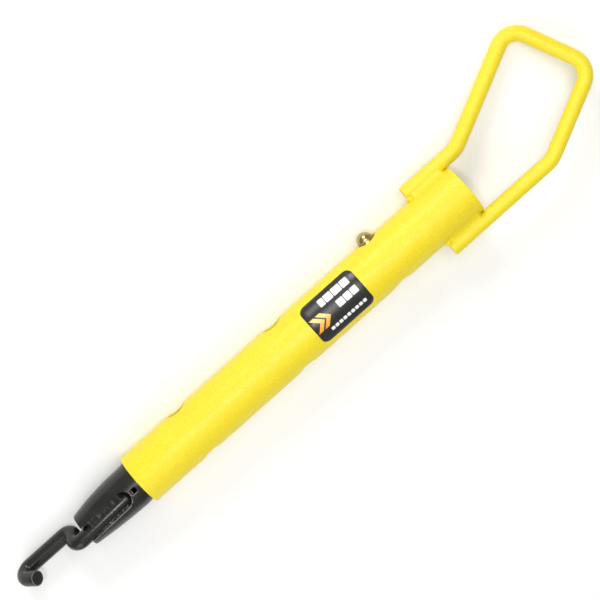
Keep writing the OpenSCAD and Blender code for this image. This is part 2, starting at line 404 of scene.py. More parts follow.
def start_group(name, numbers, outputs):
    """An empty node group fed by a position and named numbers: (nodes, its inputs, its output node)."""
    tree = bpy.data.node_groups.new(name, "ShaderNodeTree")
    tree.interface.new_socket("Vector", in_out="INPUT", socket_type="NodeSocketVector")
    for socket, default in numbers.items():
        made = tree.interface.new_socket(socket, in_out="INPUT", socket_type="NodeSocketFloat")
        made.default_value = default
    for socket in outputs:
        tree.interface.new_socket(socket, in_out="OUTPUT", socket_type="NodeSocketFloat")
    nodes = Nodes(tree)
    return nodes, nodes.add("NodeGroupInput").outputs, nodes.add("NodeGroupOutput").inputs


def orange_peel_group():
    """Height of a sprayed coat: broad waves with a fine grain on them."""
    numbers = {"Grain Size": 0.8 * MM, "Wave Size": 6 * MM}
    nodes, given, out = start_group("Orange Peel", numbers, ["Height"])
    grain_share = 0.45
    grain = nodes.sized_noise(given["Vector"], given["Grain Size"], 1.5)
    wave = nodes.sized_noise(given["Vector"], given["Wave Size"], 1.0)
    nodes.feed(out["Height"], nodes.math("ADD", nodes.times(grain, grain_share), wave))
    return nodes.tree


def blotch_group():
    """Soft cloudy patches, 0 to 1, for colour that isn't quite even."""
    numbers = {"Patch Size": 20 * MM, "Contrast": 0.5}
    nodes, given, out = start_group("Blotches", numbers, ["Mask"])
    softest_low, softest_high, shift = 0.35, 0.95, 0.3
    cloud = nodes.sized_noise(given["Vector"], given["Patch Size"], 4.0, 0.6)
    nearer = nodes.times(given["Contrast"], shift)
    low = nodes.math("SUBTRACT", softest_low, nearer)
    high = nodes.math("SUBTRACT", softest_high, nearer)
    nodes.feed(out["Mask"], nodes.between(cloud, low, high))
    return nodes.tree


def scuff_group():
    """Thin scratches that run along the tool, 0 where clean and 1 in a scratch."""
    nodes, given, out = start_group("Scuffs", {"Width": 0.6 * MM, "Amount": 0.3}, ["Mask"])
    drawn_out = (0.10, 1.0, 1.0)
    wander = (0.0, 4 * MM, 4 * MM)
    fewest, line_softness = 0.74, 0.07
    clean, scratched = 0.45, 0.62
    stretch = nodes.add("ShaderNodeVectorMath", {"operation": "MULTIPLY"}, i0=given["Vector"])
    stretch.inputs[1].default_value = drawn_out
    bend = nodes.noise(given["Vector"], scale=60.0, detail=2.0)
    bent = nodes.add("ShaderNodeVectorMath", {"operation": "MULTIPLY_ADD"}, i0=bend, i2=stretch.outputs[0])
    bent.inputs[1].default_value = wander
    lines = nodes.sized_noise(bent.outputs[0], given["Width"], 2.0, 0.6)
    patches = nodes.noise(given["Vector"], scale=70.0, detail=3.0)
    where = nodes.between(patches, clean, scratched)
    low = nodes.math("SUBTRACT", fewest, nodes.times(given["Amount"], 0.3))
    line = nodes.between(lines, low, nodes.math("ADD", low, line_softness))
    nodes.feed(out["Mask"], nodes.times(line, where, clamp=True))
    return nodes.tree


def edge_group():
    """Edges and hollows from the mesh's own curvature: Edge is 1 on sharp outer edges, broken up by noise,
    and Hollow is 1 in hollows; they carry wear, patina, painted shade and painted highlight.
    """
    nodes, given, out = start_group("Edge Wear", {"Start": 0.54, "Break Up": 2 * MM}, ["Edge", "Hollow"])
    ragged, edge_softness, hollow_softness = 0.06, 0.06, 0.10
    pointed = nodes.add("ShaderNodeNewGeometry").outputs["Pointiness"]
    rough = nodes.sized_noise(given["Vector"], given["Break Up"], 3.0)
    shift = nodes.times(nodes.math("SUBTRACT", rough, 0.5), ragged)
    full = nodes.math("ADD", given["Start"], edge_softness)
    nodes.feed(out["Edge"], nodes.between(nodes.math("ADD", pointed, shift), given["Start"], full))
    mirrored = nodes.math("SUBTRACT", 1.0, given["Start"])
    deep = nodes.math("SUBTRACT", mirrored, hollow_softness)
    nodes.feed(out["Hollow"], nodes.between(pointed, deep, mirrored, 1.0, 0.0))
    return nodes.tree


GROUPS = {
    "Orange Peel": orange_peel_group,
    "Blotches": blotch_group,
    "Scuffs": scuff_group,
    "Edge Wear": edge_group,
}


def use_group(nodes, name, position, **sockets):
    """The outputs of a group, which is made the first time it is used."""
    tree = bpy.data.node_groups.get(name) or GROUPS[name]()
    return nodes.add("ShaderNodeGroup", {"node_tree": tree}, Vector=position, **sockets).outputs


def peel_height(nodes, position, grain, wave):
    return use_group(nodes, "Orange Peel", position, Grain_Size=grain, Wave_Size=wave)["Height"]


def blotches(nodes, position, patch, contrast):
    return use_group(nodes, "Blotches", position, Patch_Size=patch, Contrast=contrast)["Mask"]


def scratches(nodes, position, width, amount):
    return use_group(nodes, "Scuffs", position, Width=width, Amount=amount)["Mask"]


def edge_wear_and_painted_light(nodes, position, start, break_up):
    return use_group(nodes, "Edge Wear", position, Start=start, Break_Up=break_up)


# ---- materials


def start_material(name):
    """A material with only its Principled shader: (material, nodes, shader, position)."""
    material = bpy.data.materials.new(name)
    material.use_nodes = True
    material.node_tree.nodes.clear()
    nodes = Nodes(material.node_tree)
    position = nodes.add("ShaderNodeTexCoord").outputs["Object"]
    shader = nodes.add("ShaderNodeBsdfPrincipled")
    output = nodes.add("ShaderNodeOutputMaterial")
    nodes.feed(output.inputs["Surface"], shader.outputs[0])
    return material, nodes, shader, position


def set_shader(nodes, shader, **sockets):
    """Gives the shader's named sockets their colours and values, or links them."""
    for name, value in sockets.items():
        nodes.feed(shader.inputs[name.replace("_", " ")], value)


def set_bump(nodes, shader, height, distance, strength=1.0):
    bump = nodes.add("ShaderNodeBump", Strength=strength, Distance=distance, Height=height)
    set_shader(nodes, shader, Normal=bump.outputs[0])


def tinted(base, *factors):
    """The colour with its channels multiplied, by one factor or by one each."""
    return tuple(channel * factor for channel, factor in zip(base, factors * 3))


def powder_coat(finish):
    """Yellow powder coat: fine orange peel, darker in hollows as painted shade, rubbed on edges."""
    material, nodes, shader, position = start_material("Yellow powder coat")
    peel = peel_height(nodes, position, grain=0.9 * MM, wave=5 * MM)
    cloud = blotches(nodes, position, patch=30 * MM, contrast=0.5)
    edges = edge_wear_and_painted_light(nodes, position, start=0.56, break_up=2 * MM)
    body = nodes.mix(nodes.times(cloud, 0.22), finish.yellow, finish.yellow_deep_and_shade)
    # Painted shade: darker yellow in the concave hollows, where shade falls.
    body = nodes.mix(nodes.times(edges["Hollow"], 0.75), body, finish.yellow_deep_and_shade)
    grit = nodes.noise(position, scale=850.0, detail=2.0, roughness=0.7)
    speckle = nodes.between(grit, 0.35, 0.68, 0.0, 0.5)
    body = nodes.mix(speckle, body, finish.yellow_deep_and_shade)
    rubbed = tuple(min(1, channel * 1.05 + 0.03) for channel in finish.yellow)
    body = nodes.mix(nodes.times(edges["Edge"], 0.35), body, rubbed)
    smoothest, roughest = finish.coat_roughness - 0.06, finish.coat_roughness + 0.08
    uneven = nodes.noise(position, scale=400.0, detail=2.0)
    rough = nodes.between(uneven, 0.3, 0.7, smoothest, roughest)
    set_shader(nodes, shader, Base_Color=body, Roughness=rough, Specular_IOR_Level=0.45)
    set_bump(nodes, shader, peel, distance=0.22 * MM)
    return material


def black_paint(finish):
    """Semi-gloss black paint with a soft lumpy surface, rubbed pale in scuffs, and pale on edges as worn
    paint and painted highlight.
    """
    material, nodes, shader, position = start_material("Black paint")
    peel = peel_height(nodes, position, grain=0.7 * MM, wave=3.5 * MM)
    scuffs = scratches(nodes, position, width=0.5 * MM, amount=0.35)
    edges = edge_wear_and_painted_light(nodes, position, start=0.58, break_up=1.5 * MM)
    cloud = blotches(nodes, position, patch=9 * MM, contrast=0.6)
    body = nodes.mix(nodes.times(cloud, 0.25), finish.black, finish.black_worn)
    body = nodes.mix(nodes.times(scuffs, 0.55), body, finish.black_worn)
    # Partly painted highlight: sharp edges go pale, as paint worn to steel and as lit rims.
    body = nodes.mix(nodes.times(edges["Edge"], 0.4), body, finish.bare_steel)
    worn = nodes.math("MAXIMUM", scuffs, nodes.times(cloud, 0.5))
    rough = nodes.between(worn, 0.0, 1.0, finish.paint_roughness, finish.paint_roughness + 0.22)
    set_shader(nodes, shader, Base_Color=body, Roughness=rough, Specular_IOR_Level=0.42)
    set_bump(nodes, shader, peel, distance=0.08 * MM, strength=0.8)
    return material


def bare_steel(finish):
    """Sawn steel where a cut end has lost its paint."""
    material, nodes, shader, position = start_material("Chipped cut end")
    cloud = blotches(nodes, position, patch=1.6 * MM, contrast=0.9)
    grain = nodes.noise(position, scale=2500.0, detail=2.0)
    set_shader(nodes, shader, Base_Color=nodes.mix(cloud, finish.bare_steel, finish.black_worn),
               Metallic=nodes.between(cloud, 0.2, 0.8, 0.7, 0.1),
               Roughness=nodes.between(grain, 0.3, 0.7, 0.38, 0.6))
    set_bump(nodes, shader, grain, distance=0.04 * MM, strength=0.6)
    return material


def brass_metal(finish):
    """Turned brass, polished on the ball and tarnished in patches."""
    material, nodes, shader, position = start_material("Turned brass")
    cloud = blotches(nodes, position, patch=5 * MM, contrast=0.7)
    scuffs = scratches(nodes, position, width=0.25 * MM, amount=0.4)
    edges = edge_wear_and_painted_light(nodes, position, start=0.58, break_up=1 * MM)
    dull = nodes.math("MAXIMUM", nodes.times(cloud, 0.5), nodes.times(edges["Hollow"], 0.8))
    worn = nodes.math("MAXIMUM", scuffs, cloud)
    set_shader(nodes, shader, Base_Color=nodes.mix(dull, finish.brass, finish.tarnish),
               Metallic=1.0, Roughness=nodes.between(worn, 0.0, 1.0, 0.13, 0.30))
    fine = nodes.noise(position, scale=900.0, detail=2.0)
    set_bump(nodes, shader, fine, distance=0.02 * MM, strength=0.5)
    return material


def spring_metal(finish):
    """Spring steel strip with a rolled grain and faint heat tint."""
    material, nodes, shader, position = start_material("Spring steel")
    scuffs = scratches(nodes, position, width=0.2 * MM, amount=0.8)
    cloud = blotches(nodes, position, patch=7 * MM, contrast=0.6)
    heated = tinted(finish.spring, 0.72, 0.62, 0.5)
    set_shader(nodes, shader, Base_Color=nodes.mix(nodes.times(cloud, 0.6), finish.spring, heated),
               Metallic=1.0, Roughness=nodes.between(scuffs, 0.0, 1.0, 0.28, 0.45))
    set_bump(nodes, shader, scuffs, distance=0.02 * MM, strength=0.4)
    return material


# The print on the label. Along and across are counted in half lengths of the label.
SOFT_EDGE = 0.012
TITLE_BLOCKS = (((-0.28, 0.42), (0.09, 0.12)), ((-0.02, 0.42), (0.13, 0.12)),
                ((0.30, 0.42), (0.15, 0.12)), ((0.62, 0.42), (0.13, 0.12)))
SECOND_BLOCKS = (((0.17, 0.05), (0.12, 0.11)), ((0.44, 0.05), (0.11, 0.11)), ((0.70, 0.05), (0.11, 0.11)))
SMALL_BLOCKS = tuple(((-0.50 + 0.155 * k, -0.42), (0.055, 0.05)) for k in range(9))
BLOCK_CORNER = 0.025
CHEVRONS = ((-0.62, -0.03), (-0.38, -0.03))
CHEVRON_HALF, CHEVRON_BAND = 0.24, 0.08


def box_mask(nodes, along, across, centre, half, round_corner):
    """1 inside a rounded rectangle on the label, with a soft edge."""
    gaps = []
    for value, middle_here, half_here in zip((along, across), centre, half):
        off = nodes.math("ABSOLUTE", nodes.math("SUBTRACT", value, middle_here))
        gap = nodes.math("MAXIMUM", nodes.math("SUBTRACT", off, half_here - round_corner), 0.0)
        gaps.append(nodes.times(gap, gap))
    reach = nodes.math("SQRT", nodes.math("ADD", *gaps))
    return nodes.between(reach, round_corner, round_corner + SOFT_EDGE, 1.0, 0.0)


def chevron_mask(nodes, along, across, centre):
    """1 on a chevron that points along the label."""
    off_x = nodes.math("SUBTRACT", along, centre[0])
    off_y = nodes.math("ABSOLUTE", nodes.math("SUBTRACT", across, centre[1]))
    band = nodes.math("ABSOLUTE", nodes.math("ADD", off_x, off_y))
    inside = nodes.between(band, CHEVRON_BAND, CHEVRON_BAND + SOFT_EDGE, 1.0, 0.0)
    short = nodes.between(off_y, CHEVRON_HALF, CHEVRON_HALF + SOFT_EDGE, 1.0, 0.0)
    return nodes.times(inside, short)


def label_print(finish):
    """Gloss label with a plain design: two chevrons and rows of blocks, no lettering."""
    material, nodes, shader, position = start_material("Printed label")
    layout = nodes.add("ShaderNodeUVMap", {"uv_map": "label_layout"}).outputs[0]
    along, across, _ = nodes.add("ShaderNodeSeparateXYZ", i0=layout).outputs
    cloud = blotches(nodes, position, patch=6 * MM, contrast=0.5)
    body = nodes.mix(nodes.times(cloud, 0.3), finish.vinyl, tinted(finish.vinyl, 2.2))
    white = 0.0
    for centre, half in TITLE_BLOCKS + SECOND_BLOCKS + SMALL_BLOCKS:
        white = nodes.math("MAXIMUM", white, box_mask(nodes, along, across, centre, half, BLOCK_CORNER))
    body = nodes.mix(white, body, finish.print_white)
    amber = nodes.math("MAXIMUM", *(chevron_mask(nodes, along, across, centre) for centre in CHEVRONS))
    chevron_y = CHEVRONS[0][1]
    rise = nodes.between(across, chevron_y - CHEVRON_HALF, chevron_y + CHEVRON_HALF)
    body = nodes.mix(amber, body, nodes.mix(rise, finish.print_amber, finish.print_yellow))
    set_shader(nodes, shader, Base_Color=body, Roughness=nodes.between(cloud, 0.0, 1.0, 0.22, 0.34))
    peel = peel_height(nodes, position, grain=1.1 * MM, wave=7 * MM)
    set_bump(nodes, shader, peel, distance=0.03 * MM, strength=0.5)
    return material


def floor_finish(finish):
    """Matt pale floor with the faintest unevenness."""
    material, nodes, shader, position = start_material("Pale floor")
    cloud = blotches(nodes, position, patch=400 * MM, contrast=0.4)
    body = nodes.mix(cloud, finish.floor, tinted(finish.floor, 0.985))
    set_shader(nodes, shader, Base_Color=body, Roughness=0.9, Specular_IOR_Level=0.1)
    return material


FINISHES = {
    "coat": ("Yellow powder coat", powder_coat),
    "black": ("Black paint", black_paint),
    "chipped": ("Chipped cut end", bare_steel),
    "brass": ("Turned brass", brass_metal),
    "spring": ("Spring steel", spring_metal),
    "label": ("Printed label", label_print),
    "floor": ("Pale floor", floor_finish),
}


def material_for(key, finish):
    """The finish with that key, made the first time it is asked for."""
    name, make = FINISHES[key]
    return bpy.data.materials.get(name) or make(finish)


# ---- bent rods


ROD_SIDES = 40
BEND_STEP = math.radians(4)  # turn of one section of a bend
HANDLE_CUT = 0.5 * MM  # rounding of the handle's sawn ends
HOOK_CUTS = (2.4 * MM, 0.45 * MM)  # rounding of the shank's end and of the tip


def bent_rod(name, path, radii, rod_r, cut_rounding):
    """A round rod drawn along path: straight pushes, and a spin round each inner corner."""
    turn = (path[1] - path[0]).to_track_quat("Z", "Y").to_euler()
    rod = add_shape(bpy.ops.mesh.primitive_circle_add, vertices=ROD_SIDES, radius=rod_r,
                    location=path[0], rotation=turn)
    rod.name = name
    keep_in_mesh()
    edit(rod)
    here = path[0]
    for before, corner, after, radius in zip(path, path[1:], path[2:], radii):
        way_in = (corner - before).normalized()
        way_out = (after - corner).normalized()
        bend = way_in.angle(way_out)
        reach = radius * math.tan(bend / 2)
        start = corner - way_in * reach
        inward = (way_out - way_in * way_in.dot(way_out)).normalized()
        push(start - here)
        bpy.ops.mesh.spin(steps=math.ceil(bend / BEND_STEP), angle=bend, center=start + inward * radius,
                          axis=way_out.cross(way_in))
        here = corner + way_out * reach
    push(path[-1] - here)
    bpy.ops.mesh.select_mode(type="EDGE")
    bpy.ops.mesh.select_all(action="SELECT")
    bpy.ops.mesh.fill_holes(sides=0)
    bpy.ops.mesh.select_all(action="SELECT")
    bpy.ops.mesh.normals_make_consistent(inside=False)
    for end, rounding in zip((path[0], path[-1]), cut_rounding):
        round_cut_end(end, rod_r, rounding)
    done_editing()
    return rod


def round_cut_end(end, rod_r, rounding):
    """Rounds the rim of a sawn end, and insets its face."""
    def on_rim(edge):
        caps = [face for face in edge.link_faces if len(face.verts) == ROD_SIDES]
        return len(caps) == 1 and (middle(caps[0]) - end).length < rod_r / 4

    pick("edges", on_rim)
    bpy.ops.mesh.bevel(offset=rounding, segments=4, affect="EDGES")
    pick("faces", lambda face: len(face.verts) == ROD_SIDES and (middle(face) - end).length < rod_r / 4)
    bpy.ops.mesh.inset(thickness=rounding / 3)


# ---- the tube and what is welded to it


AROUND = 96  # faces round the outer tube
PATCH_STEPS = 10  # faces from a hole's middle to its patch's edge
PATCH_HALF = 9.2 * MM  # half the length of the patch round a hole


def tube_skin(name, radius, sizes):
    """One wall of the tube, open at both ends, with a patch of even faces round each hole."""
    skin = add_shape(bpy.ops.mesh.primitive_circle_add, vertices=AROUND, radius=radius,
                     rotation=(0, math.pi / 2, 0))
    skin.name = name
    keep_in_mesh()
    edit(skin)
    here = 0
    for hole in hole_places(sizes):
        for step in range(-PATCH_STEPS, PATCH_STEPS + 1):
            there = hole + PATCH_HALF * step / PATCH_STEPS
            push((there - here, 0, 0))
            here = there
    push((sizes.tube_len - here, 0, 0))
    for hole in hole_places(sizes):
        for side in (1, -1):
            open_hole(radius, hole, side, sizes.hole_r)
    done_editing()
    return skin


def open_hole(radius, hole, side, hole_r):
    """Cuts a patch away and draws its rim in, in two rows, to the round hole."""
    patch_turn = 2 * math.pi * PATCH_STEPS / AROUND

    def within(point, slack):
        turn = math.atan2(abs(point.y), point.z * side)
        return abs(point.x - hole) < PATCH_HALF * slack and turn < patch_turn * slack

    def towards(point, part):
        turn = math.atan2(point.y, point.z * side)
        way = math.atan2(turn / patch_turn, (point.x - hole) / PATCH_HALF)
        rim = Vector((hole + hole_r * math.cos(way), hole_r * math.sin(way), 0))
        x = point.x + (rim.x - point.x) * part
        y = point.y + (rim.y - point.y) * part
        return Vector((x, y, side * math.sqrt(radius ** 2 - y ** 2)))

    pick("faces", lambda face: within(middle(face), 1.0))
    bpy.ops.mesh.delete(type="FACE")
    just_outside = 1.02
    pick("edges", lambda edge: edge.is_boundary and within(middle(edge), just_outside))
    for part in (0.5, 1.0):
        push((0, 0, 0))
        place_selected(lambda point: towards(point, part))


def close_wall(tube):
    """Closes the wall at both ends and round every hole. Both skins are made by the same
    steps, so a vertex of the outside and its partner in the bore are half the list apart."""
    shape = bmesh.new()
    shape.from_mesh(tube.data)
    shape.verts.ensure_lookup_table()
    half = len(shape.verts) // 2
    rims = [edge for edge in shape.edges if edge.is_boundary and max(v.index for v in edge.verts) < half]
    for edge in rims:
        first, second = edge.verts
        shape.faces.new((first, second, shape.verts[second.index + half], shape.verts[first.index + half]))
    shape.to_mesh(tube.data)
    shape.free()


class PULLER_OT_outer_tube(bpy.types.Operator):
    """Build the outer tube with its three pairs of latch holes"""

    bl_idname = "puller.outer_tube"
    bl_label = "Outer Tube"

    def execute(self, context):
        sizes, finish = chosen(context)
        inner_r = sizes.tube_r - sizes.tube_wall
        skins = [tube_skin("tube_outside", sizes.tube_r, sizes), tube_skin("tube_bore", inner_r, sizes)]
        tube = join(skins, "tube_with_latch_holes")
        close_wall(tube)
        tidy_mesh(tube)
        round_edges(tube, sizes.rim, 4, 50)
        smooth(tube, 40)
        apply_place(tube, hole_frame(sizes, 0))
        paint(tube, material_for("coat", finish))
        hand_over(tube, "tube", "yellow_powder_coat", "outer_tube")
        return {"FINISHED"}


def handle_path(sizes):
    """Centre line of the bail handle, from one cut end round to the other."""
    leg_y = sizes.tube_r + sizes.rod_r
    turned = Vector((math.cos(sizes.dogleg), math.sin(sizes.dogleg), 0))
    cut = sizes.tube_len - sizes.weld_len
    far_corner = Vector((sizes.tube_len + sizes.far_bend, -leg_y, 0))
    near_corner = Vector((sizes.tube_len + sizes.near_bend, leg_y, 0))
    return [Vector((cut, -leg_y, 0)), far_corner, far_corner + turned * sizes.far_side,
            near_corner + turned * sizes.near_side, near_corner, Vector((cut, leg_y, 0))]


class PULLER_OT_bail_handle(bpy.types.Operator):
    """Build the bail handle, one bent round rod"""

    bl_idname = "puller.bail_handle"
    bl_label = "Bail Handle"

    def execute(self, context):
        sizes, finish = chosen(context)
        radii = [sizes.leg_radius, sizes.grip_radius, sizes.grip_radius, sizes.leg_radius]
        handle = bent_rod("bail_rod", handle_path(sizes), radii, sizes.rod_r, (HANDLE_CUT, HANDLE_CUT))
        smooth(handle, 40)
        apply_place(handle, laid_down(sizes))
        paint(handle, material_for("coat", finish))
        hand_over(handle, "tube", "yellow_powder_coat", "bail_handle")
        return {"FINISHED"}


WELD_STEPS = 90  # sections along a weld
FILLET_POINTS = 12  # points across a weld fillet's face
FILLET_TOE = math.radians(33)  # its edge on the tube, off the legs' plane
FILLET_HEEL = math.radians(72)  # its edge on the leg, off the legs' plane
FILLET_HOLLOW = 1.3 * MM  # how far its face dips towards the corner
FILLET_ROOT = 0.9 * MM
SUNK = 0.12 * MM  # how far its edges sit inside tube and leg
RIPPLE_HEIGHT, RIPPLE_LENGTH = 0.02 * MM, 2.1 * MM
TACK_RADIUS = 1.9 * MM
WELD_START, WELD_STOP = 0.8 * MM, 2.4 * MM  # gaps left at the rod's cut end and the tube's rim
DROPS = 4  # beads of spatter beside a leg


def fillet_ring(x, sizes, flip, size, seed):
    """One section of a weld fillet in the corner between tube and leg, at x."""
    wander = math.radians(3) * ripple((x, 0, flip), 7 * MM, seed)
    toe = (FILLET_TOE + wander) * size
    heel = math.pi - (FILLET_HEEL + wander) * size
    low = Vector((0, math.cos(toe), math.sin(toe))) * (sizes.tube_r - SUNK)
    leg = Vector((0, sizes.tube_r + sizes.rod_r, 0))
    high = leg + Vector((0, math.cos(heel), math.sin(heel))) * (sizes.rod_r - SUNK)
    corner = Vector((0, sizes.tube_r, 0))
    hollow = (corner - (low + high) / 2).normalized()
    face = []
    for k in range(FILLET_POINTS):
        part = k / (FILLET_POINTS - 1)
        dip = math.sin(math.pi * part)
        beat = RIPPLE_HEIGHT * math.cos(2 * math.pi * (x / RIPPLE_LENGTH + 0.35 * dip))
        rough = 0.2 * MM * ripple((x, k * 0.4 * MM, flip), 3 * MM, seed + 5)
        face.append(low.lerp(high, part) + hollow * (FILLET_HOLLOW * size + beat + rough) * dip)
    back = [corner + Vector((0, side * FILLET_ROOT, FILLET_ROOT / 4)) for side in (1, -1)]
    return [Vector((x, point.y, point.z * flip)) for point in face + back]


def ball(centre, radius, fineness):
    """A round drop of weld metal."""
    blob = add_shape(bpy.ops.mesh.primitive_ico_sphere_add, subdivisions=fineness, radius=radius,
                     location=centre)
    keep_in_mesh()
    return blob


def tack(x, sizes, flip, seed):
    """A small round blob of weld at the lower end of a leg."""
    flatness, lumps, grain = 0.85, 0.13, 0.04
    centre = Vector((x, sizes.tube_r + 0.3 * MM, 2.9 * MM * flip))
    blob = ball(centre, TACK_RADIUS, 4)
    for vertex in blob.data.vertices:
        away = vertex.co - centre
        swell = 1 + lumps * ripple(vertex.co, 1.7 * MM, seed) + grain * ripple(vertex.co, 0.6 * MM, seed)
        vertex.co = centre + Vector((away.x, away.y, away.z * flatness)) * swell
    return blob


def spatter(sizes, seed):
    """A few small beads of spatter on the tube beside a leg's lower end."""
    start = sizes.tube_len - sizes.weld_len
    nearest, gap, scatter = 1.5, 2.1, 1.2  # mm, along the tube
    turn_middle, turn_scatter = 24, 9  # degrees, round the tube
    largest, shrink = 0.42, 0.05  # mm
    drops = []
    for k in range(DROPS):
        x = start - (nearest + gap * k + scatter * ripple((k * MM, 0, 0), MM, seed)) * MM
        turn = math.radians(turn_middle + turn_scatter * ripple((0, k * MM, 0), 0.7 * MM, seed + 3))
        centre = Vector((x, sizes.tube_r * math.cos(turn), sizes.tube_r * math.sin(turn)))
        drops.append(ball(centre, (largest - shrink * k) * MM, 2))
    return drops


def leg_welds(name, side, sizes):
    """The fillets above and below one leg, each with a tack at its lower end; side is 1 or -1."""
    start = sizes.tube_len - sizes.weld_len + WELD_START
    stop = sizes.tube_len - WELD_STOP
    taper_steps, smallest = 9, 0.02
    pieces = []
    for flip in (1, -1):
        seed = 11 * side + 3 * flip
        rings = []
        for step in range(WELD_STEPS + 1):
            part = step / WELD_STEPS
            from_end = min(part, 1 - part) * WELD_STEPS / taper_steps
            size = min(1, math.sqrt(max(smallest, from_end)))
            rings.append(fillet_ring(start + (stop - start) * part, sizes, flip, size, seed))
        pieces.append(loft(name, rings))
        pieces.append(tack(start, sizes, flip, seed + 0.5))
    pieces += spatter(sizes, 5 * side + 2)
    welds = join(pieces, name)
    if side < 0:
        apply_place(welds, Matrix.Rotation(math.pi, 4, "X"))
    tidy_mesh(welds)
    smooth(welds, 60)
    apply_place(welds, laid_down(sizes))
    return welds


class PULLER_OT_handle_welds(bpy.types.Operator):
    """Lay the weld beads that hold both legs of the handle"""

    bl_idname = "puller.handle_welds"
    bl_label = "Handle Welds"

    def execute(self, context):
        sizes, finish = chosen(context)
        for side, name, node in ((1, "weld_beads_left", "handle_weld_left"),
                                 (-1, "weld_beads_right", "handle_weld_right")):
            welds = leg_welds(name, side, sizes)
            paint(welds, material_for("coat", finish))
            hand_over(welds, "tube", "yellow_powder_coat", node)
        return {"FINISHED"}


LABEL_THICKNESS = 0.15 * MM
LABEL_ROWS, LABEL_COLUMNS = 48, 12  # faces round and along the label


def slice_sheet(way, half, count):
    """Cuts the open sheet, which spans -half to half along way, into equal strips."""
    for strip in range(1, count):
        bpy.ops.mesh.select_all(action="SELECT")
        bpy.ops.mesh.bisect(plane_co=way * (half * (2 * strip / count - 1)), plane_no=way)


class PULLER_OT_label(bpy.types.Operator):
    """Lay the label on the tube: a rounded sheet, cut in strips and wrapped round"""

    bl_idname = "puller.label"
    bl_label = "Label"

    def execute(self, context):
        sizes, finish = chosen(context)
        half_x = sizes.label_len / 2
        half_y = sizes.tube_r * sizes.label_span / 2
        label = add_shape(bpy.ops.mesh.primitive_plane_add, size=2)
        label.name = "printed_label"
        label.scale = (half_x, half_y, 1)
        keep_in_mesh()
        edit(label)
        bpy.ops.mesh.bevel(offset=sizes.label_corner, segments=10, affect="VERTICES")
        slice_sheet(Vector((0, 1, 0)), half_y, LABEL_ROWS)
        slice_sheet(Vector((1, 0, 0)), half_x, LABEL_COLUMNS)
        done_editing()
        self.lay_out(label, half_x)
        add_modifier(label, "SOLIDIFY", thickness=LABEL_THICKNESS, offset=1)
        round_edges(label, LABEL_THICKNESS / 3, 2, 60)
        self.wrap(label, sizes)
        smooth(label, 35)
        apply_place(label, laid_down(sizes))
        paint(label, material_for("label", finish))
        hand_over(label, "tube", "label_vinyl", "label")
        return {"FINISHED"}

    def lay_out(self, label, half_x):
        """Writes each corner's place on the flat label, -1 to 1 along its length, into a UV map."""
        mesh = label.data
        while mesh.uv_layers:
            mesh.uv_layers.remove(mesh.uv_layers[0])
        layer = mesh.uv_layers.new(name="label_layout")
        for loop in mesh.loops:
            place = mesh.vertices[loop.vertex_index].co
            layer.data[loop.index].uv = (place.x / half_x, place.y / half_x)

    def wrap(self, label, sizes):
        """Wraps the flat label round the tube."""
        middle_x = sizes.label_x + sizes.label_len / 2
        for vertex in label.data.vertices:
            flat = vertex.co.copy()
            turn = flat.y / sizes.tube_r - sizes.label_turn
            radius = sizes.tube_r + flat.z
            vertex.co = (middle_x + flat.x, radius * math.sin(turn), radius * math.cos(turn))


# ---- the slider, its nose and the hook


OVAL_POINTS = 84  # points round the nose's skin, lip to lip
TROUGH_POINTS = 32  # points across its trough
TROUGH_FLARE = 1.2 * MM  # how far its walls spread above its floor
TROUGH_HEAD = 2 * MM  # how far its walls are drawn past the slider
FLOOR_SHARE = 0.45  # share of its outline that lies under the rod
ARCH_TIP = -8 * MM  # where its arched end starts
ARCH = 5.4 * MM  # length of the arched end
RAMP = 1.3 * MM  # length over which it falls to its full depth
NOSE_GAP = 2.2 * MM  # between sections of the nose
NEAR_ARCH = (0.4, 1.2, 2.6, 4.4, 6.2, 8)  # sections past the arched end, in mm
IN_TUBE = (20, 60, 110, 160, 176, 196)  # sections inside the tube, in mm
SLIDER_ROUNDING = 0.35 * MM  # of the edges of the nose's end and its holes
SHANK_END = Vector((-9 * MM, -2.9 * MM, 0))
FRONT_BEND = Vector((-53.4 * MM, -4.6 * MM, 0))
RELIEF_PLACE = (-5 * MM, -2.6 * MM)  # the small four-sided hole above the arch
RELIEF_SIZE = (4.2 * MM, 3.3 * MM, 8 * MM)


def hook_path(sizes):
    """Centre line of the hook: shank, crossing under the nose, run and upturned tip."""
    rise = Vector((0, 0, sizes.shank_z))
    run_start = Vector((-45.9 * MM, 4.2 * MM, sizes.shank_z - 11.2 * MM))
    tip_bend = run_start - Vector((sizes.run_len, 0, 0))
    tip = Vector((12.7 * MM, -7.6 * MM, 12.5 * MM))
    return [SHANK_END + rise, FRONT_BEND + rise, run_start, tip_bend, tip_bend + tip]


